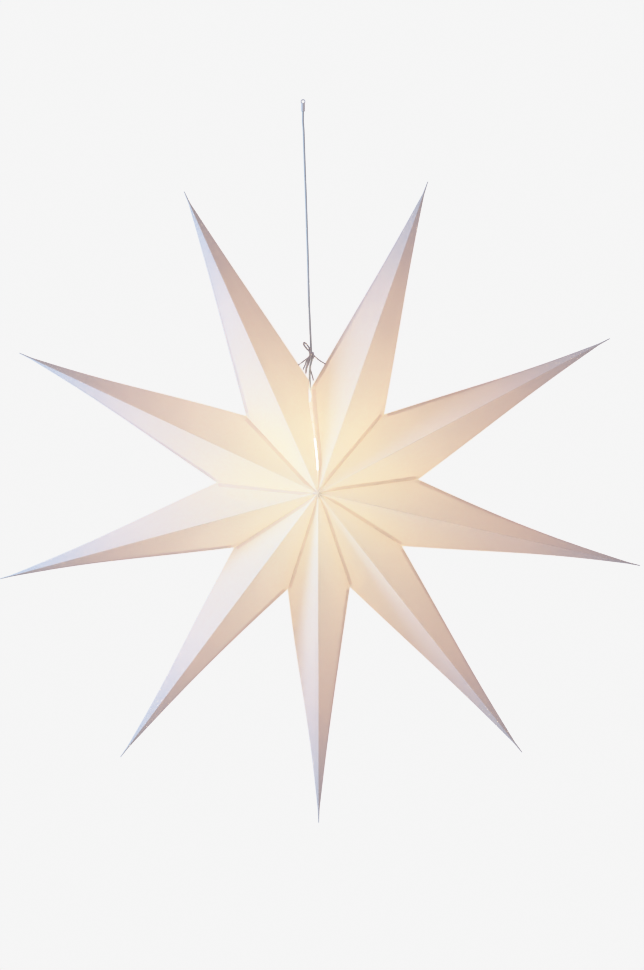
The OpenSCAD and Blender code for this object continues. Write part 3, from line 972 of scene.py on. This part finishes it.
@dataclass
class TieString:
    """The thin string that ties the mouth's two edges to the cord, with a bow and two tails."""

    sizes: StarSizes
    material: Material
    diameter: float = 2.3 * MM
    knot_diameter: float = 5 * MM
    cord_diameter: float = 3.3 * MM
    ply_turn: float = 6 * MM
    ply_swell: float = 0.03
    knot_squeeze: float = 0.9
    sides: int = 12
    knot_sides: int = 10
    thread_steps: int = 10
    loop_steps: int = 6
    turn_steps: int = 32
    knot_steps: int = 72
    left_mm: Route = (
        (-33.6, 0, 191.4), (-30.1, 0, 193.7), (-22, -1, 199.6), (-15.5, -2.4, 204.6), (-11.6, -3, 210),
        (-12.2, -3.2, 217), (-14.9, -3.4, 221.8), (-18.7, -3.5, 226.4), (-21, -3.6, 227.7),
        (-22.3, -3.8, 226.2), (-21.4, -4.2, 223.2), (-17.8, -4.6, 218.4), (-13.8, -4.8, 214.4),
        (-11.4, -4.8, 209.8), (-13.4, -4.6, 206.6), (-17.2, -4, 201.3), (-19.6, -3.2, 194.5),
        (-21.9, -2.8, 189.2), (-22.7, -2.6, 186.4),
    )  # fmt: skip
    right_mm: Route = (
        (14.3, 0, 193.2), (10.7, 0, 195.3), (3, -1.6, 200), (-3.5, -2.6, 205), (-7.4, -2.6, 209),
        (-7.1, 0, 206), (-9.3, 2.9, 200.5), (-11.6, 3.1, 194), (-11.9, 2.9, 188), (-10.4, 1.8, 182.5),
        (-9, 0, 177.5), (-7.8, -1.6, 173), (-7.4, -2.4, 169.5),
    )  # fmt: skip
    lower_loop_mm: Route = (
        (-10.8, -3.8, 210), (-12.4, -4.8, 207), (-15.1, -5.4, 201.3), (-16.7, -5, 194), (-18.2, -4.8, 189),
        (-18.8, -4.6, 183.5), (-18.6, -3.7, 181), (-18.2, -2.8, 183.5), (-17.2, -2.6, 189),
        (-15.2, -2.6, 194.5), (-12.8, -3, 201.3), (-11.2, -3.4, 207), (-10.4, -3.2, 210),
    )  # fmt: skip
    upper_loop_mm: Route = (
        (-12.2, -2.4, 210.4), (-13.3, -2.4, 214.9), (-17.4, -2.4, 218.8), (-21, -2.2, 223.6),
        (-21.9, -2, 226.1), (-21, -1.7, 227.4), (-18.8, -1.5, 226.3), (-15, -1.3, 221.7),
        (-12.3, -1.3, 216.9), (-11.6, -1.6, 211),
    )  # fmt: skip
    turns_mm: Route = ((-9.9, 0, 208.8), (-10.1, 0, 210.6), (-10.3, 0, 212.4))

    def thread(self, name: str, route_mm: Route) -> Object:
        """Builds one half of the string as a two-ply thread.

        The radius swells twice around the thread, once for each ply, and each ply winds around the thread
        once in ply_turn.

        Args:
            name: The object's name.
            route_mm: Its route in the star's upright frame.

        Returns:
            The half string.
        """
        path = smooth_curve(self.sizes.placed(route_mm), self.thread_steps)
        metres = metres_along(path)
        angle = np.arange(self.sides + 1) / self.sides * math.tau
        swell = np.cos(2 * (angle[None] + metres[:, None] / self.ply_turn * math.tau))
        radius = self.diameter / 2 * (1 - self.ply_swell + self.ply_swell * swell)
        made = closed_tube(name, path, radius, self.sides, self.material)
        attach(made, "root")
        return made

    def turns(self) -> Object:
        """The turns that the string takes around the cord, as level rings of thread on top of each other.

        Returns:
            The turns.
        """
        turn = np.linspace(0, math.tau, self.turn_steps + 1)
        out = np.stack([np.cos(turn), np.sin(turn), 0 * turn], axis=-1)
        angle = np.linspace(0, math.tau, self.sides + 1)
        tube = self.diameter / 2
        radius = self.cord_diameter / 2 + self.sizes.glue_t + tube
        up = np.array([0.0, 0.0, 1.0])
        ring = (radius + tube * np.cos(angle))[None, :, None] * out[:, None]
        ring = ring + (tube * np.sin(angle))[None, :, None] * up
        uv = np.stack(np.meshgrid(angle / math.tau, turn * radius), axis=-1)
        parts = MeshParts()
        for middle in self.sizes.placed(self.turns_mm):
            parts.add_grid(middle + ring, uv, flip=True)
        made = parts.make("tie_string_turns", self.material, weld=TUBE_WELD, smooth=True)
        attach(made, "root")
        return made

    def knot(self, name: str, centre: Array) -> Object:
        """A small overhand knot: a closed thread along a trefoil, behind the paper's edge.

        The trefoil is (sin t + 2 sin 2t, -sin 3t, cos t - 2 cos 2t), scaled to the knot's size.

        Args:
            name: The object's name.
            centre: The knot's middle.

        Returns:
            The knot.
        """
        turn = np.linspace(0, math.tau, self.knot_steps + 1)
        loop = np.stack(
            [np.sin(turn) + 2 * np.sin(2 * turn), -np.sin(3 * turn), np.cos(turn) - 2 * np.cos(2 * turn)],
            axis=-1,
        )
        path = centre + loop * (self.knot_diameter - self.diameter) / 2 / 3
        grid, uv = tube_grid(path, self.diameter / 2 * self.knot_squeeze, self.knot_sides)
        grid[-1] = grid[0]
        parts = MeshParts()
        parts.add_grid(grid, uv)
        made = parts.make(name, self.material, weld=TUBE_WELD, smooth=True)
        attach(made, "root")
        return made

    def build(self) -> list[Object]:
        """Builds the whole string.

        Returns:
            Its pieces.
        """
        left = self.thread("tie_string_left", self.left_mm)
        right = self.thread("tie_string_right", self.right_mm)
        turns = self.turns()
        loops = []
        for title, route_mm in (("lower", self.lower_loop_mm), ("upper", self.upper_loop_mm)):
            path = smooth_curve(self.sizes.placed(route_mm), self.loop_steps)
            name = f"tie_string_{title}_loop"
            loops.append(closed_tube(name, path, self.diameter / 2, self.sides, self.material))
            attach(loops[-1], "root")
        knots = [
            self.knot(f"tie_string_{title}_knot", self.sizes.placed(route_mm)[0])
            for title, route_mm in (("left", self.left_mm), ("right", self.right_mm))
        ]
        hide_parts("tie_string")
        pieces = [left, right, turns, *loops, *knots]
        return pieces


@dataclass
class Lamp:
    """The hanging eye, the lampholder and the bulb, which keep their own solids."""

    def dress(self) -> None:
        """Gives each solid its finish."""
        white = MouldedPlastic("moulded white ABS", "#F1EFE9").make()
        thermoset = MouldedPlastic("moulded cream thermoset", "#D9D2C2", roughness=0.6).make()
        brass = DrawnBrass().make()
        lit = FrostedBulb().make()
        finishes = dict.fromkeys(("hanging_eye", "cord_grip", "holder_cap", "holder_skirt"), white)
        finishes |= {"holder_insert": thermoset, "screw_shell": brass, "centre_contact": brass, "bulb": lit}
        for name, finish in finishes.items():
            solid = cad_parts[name]
            solid.data.materials.clear()
            solid.data.materials.append(finish)
            log.info("%s: %s", name, finish.name)


@dataclass
class Studio:
    """A pale floor, soft light and the camera, at the photograph's viewing angle."""

    sizes: StarSizes
    frame_px: tuple[int, int] = (644, 970)
    centre_px: tuple[float, float] = (318.2, 492.9)
    metres_per_px: float = 1.515 * MM
    lens_mm: float = 85.0
    sensor_mm: float = 36.0
    key_place: Triple = (-1.5, -0.5, 0.22)
    key_size: float = 0.5
    key_watts: float = 17.4
    key_hex: str = "#A8D8FF"
    backdrop_hex: str = "#FFFFFF"
    backdrop_strength: float = 1.289
    fill_hex: str = "#F9F0FF"
    fill_strength: float = 0.484
    diffuse_bounces: int = 12
    floor_drop: float = 1.25
    floor_reach: float = 1.5

    def camera(self) -> None:
        """Sets the camera square to the star's face, with the star's centre at its place in the picture."""
        height = self.frame_px[1] * self.metres_per_px
        distance = height * self.lens_mm / self.sensor_mm
        x, y, z = self.sizes.centre
        right = (self.frame_px[0] / 2 - self.centre_px[0]) * self.metres_per_px
        up = (self.centre_px[1] - self.frame_px[1] / 2) * self.metres_per_px
        data = bpy.data.cameras.new("camera")
        data.lens = self.lens_mm
        data.sensor_width = self.sensor_mm
        made = linked("camera", data)
        made.location = (x + right, y - distance, z + up)
        made.rotation_euler = (math.pi / 2, 0, 0)
        bpy.context.scene.camera = made

    def key_light(self) -> None:
        """Adds a soft square light from the left, cool against the lamp, that points at the star's centre."""
        data = bpy.data.lights.new("key", "AREA")
        data.size = self.key_size
        data.energy = self.key_watts
        data.color = linear(self.key_hex)[:3]
        place = Vector(self.key_place)
        made = linked("key", data)
        made.location = Vector(self.sizes.centre) + place
        made.rotation_euler = (-place).to_track_quat("-Z", "Y").to_euler()

    def world(self) -> None:
        """Adds a pale world: one brightness for the backdrop that the camera sees, one for the soft fill."""
        world = bpy.data.worlds.new("pale studio")
        world.use_nodes = True
        tree = world.node_tree
        tree.nodes.clear()
        backdrop = {"Color": linear(self.backdrop_hex), "Strength": self.backdrop_strength}
        seen = add_node(tree, "ShaderNodeBackground", backdrop)
        soft = {"Color": linear(self.fill_hex), "Strength": self.fill_strength}
        fill = add_node(tree, "ShaderNodeBackground", soft)
        path = add_node(tree, "ShaderNodeLightPath")
        links = {"Fac": path.outputs["Is Camera Ray"], 1: fill.outputs[0], 2: seen.outputs[0]}
        mix = add_node(tree, "ShaderNodeMixShader", links)
        output = add_node(tree, "ShaderNodeOutputWorld", {"Surface": mix.outputs[0]})
        output.is_active_output = True
        bpy.context.scene.world = world

    def floor(self) -> None:
        """Adds a plain pale floor below the view."""
        x, y, z = self.sizes.centre
        across = np.array([-self.floor_reach, self.floor_reach])
        flat = np.stack(np.meshgrid(across + x, across + y), axis=-1)
        grid = np.concatenate([flat, np.full((2, 2, 1), z - self.floor_drop)], axis=-1)
        parts = MeshParts()
        parts.add_grid(grid, flat)
        pale = MouldedPlastic("pale matt floor", "#F2F2F2", roughness=0.9, tone_size=400 * MM).make()
        parts.make("floor", pale)

    def build(self) -> None:
        """Builds the whole studio."""
        view = bpy.context.scene.view_settings
        view.view_transform = "Khronos PBR Neutral"
        bpy.context.scene.cycles.diffuse_bounces = self.diffuse_bounces
        self.camera()
        self.key_light()
        self.world()
        self.floor()


def main() -> None:
    """Builds the star and its studio in order, and reports each piece."""
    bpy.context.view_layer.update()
    sizes = StarSizes()
    Studio(sizes).build()
    sheath = MouldedPlastic("extruded grey PVC sheath", "#D8DCD9", roughness=0.5, tone_size=30 * MM).make()
    cord = PowerCord(sizes, sheath).build()
    log.info("%s built", cord.name)
    for piece in TieString(sizes, TwistedThread().make()).build():
        log.info("%s built", piece.name)
    paper = TranslucentPaper(sizes).make()
    for index in range(len(sizes.folds)):
        made = PaperPoint(sizes, index).build(paper)
        log.info("%s built", made.name)
    Lamp().dress()


if __name__ == "__main__":
    main()
